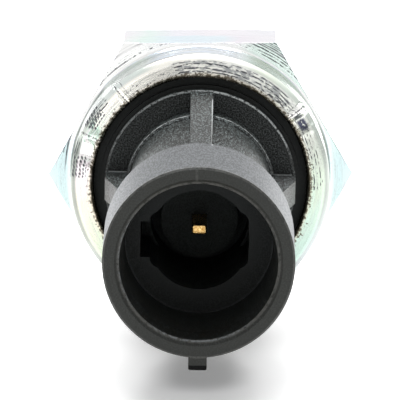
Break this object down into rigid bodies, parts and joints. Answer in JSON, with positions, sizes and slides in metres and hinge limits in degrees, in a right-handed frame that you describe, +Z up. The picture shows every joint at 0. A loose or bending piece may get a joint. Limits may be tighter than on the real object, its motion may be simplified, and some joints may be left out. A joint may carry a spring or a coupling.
{
  "type": "oil pressure sender",
  "caption": "Oil pressure sender: threaded stem with washer, hexagon with a crimped collar, and a ribbed plastic neck ending in a round latched connector socket round its terminal.",
  "frame": {"origin": "centre of the sealing washer's outer face, on the thread's axis, where the sender meets the engine", "axes": "+Y along the threaded stem, out of the engine side; the connector points along -Y; +Z up, with a flat of the hexagon facing down"},
  "size_m": [0.0312, 0.0727, 0.027],
  "materials": {
    "zinc_steel": "bright zinc plating with a clear iridescent passivation over turned steel",
    "washer_metal": "plain stamped aluminium",
    "black_plastic": "moulded glass-filled plastic, fine matte grain",
    "rubber": "moulded oil-proof rubber",
    "film": "amber polymer film",
    "insulator": "moulded natural plastic",
    "steel": "plain stamped steel",
    "spring_steel": "drawn spring wire",
    "brass": "turned brass",
    "terminal": "stamped copper alloy with a gold tone",
    "silver": "silver contact rivet"
  },
  "bodies": {
    "sender_body": {"hex_body": "zinc_steel", "sealing_washer": "washer_metal", "orifice_plug": "brass", "oil_seal_ring": "rubber", "diaphragm_film": "film", "diaphragm_backing_film": "film", "support_ring": "steel", "earth_contact_ring": "brass", "return_spring": "spring_steel", "spring_seat": "brass", "adjusting_screw": "brass", "terminal_insert": "brass", "terminal_seal_ring": "rubber", "terminal_blade": "terminal", "connector_housing": "black_plastic", "weather_seal_ring": "rubber"},
    "contact_carrier": {"pressure_plate": "steel", "plunger": "insulator", "moving_contact": "brass", "contact_tips": "silver"}
  },
  "joints": [
    {"name": "contact_lift", "type": "slide", "parent": "sender_body", "child": "contact_carrier", "axis": [0, -1, 0], "range_m": [0, 0.0006], "stiffness_N_per_m": 1070, "deforming": ["return_spring"]}
  ]
}
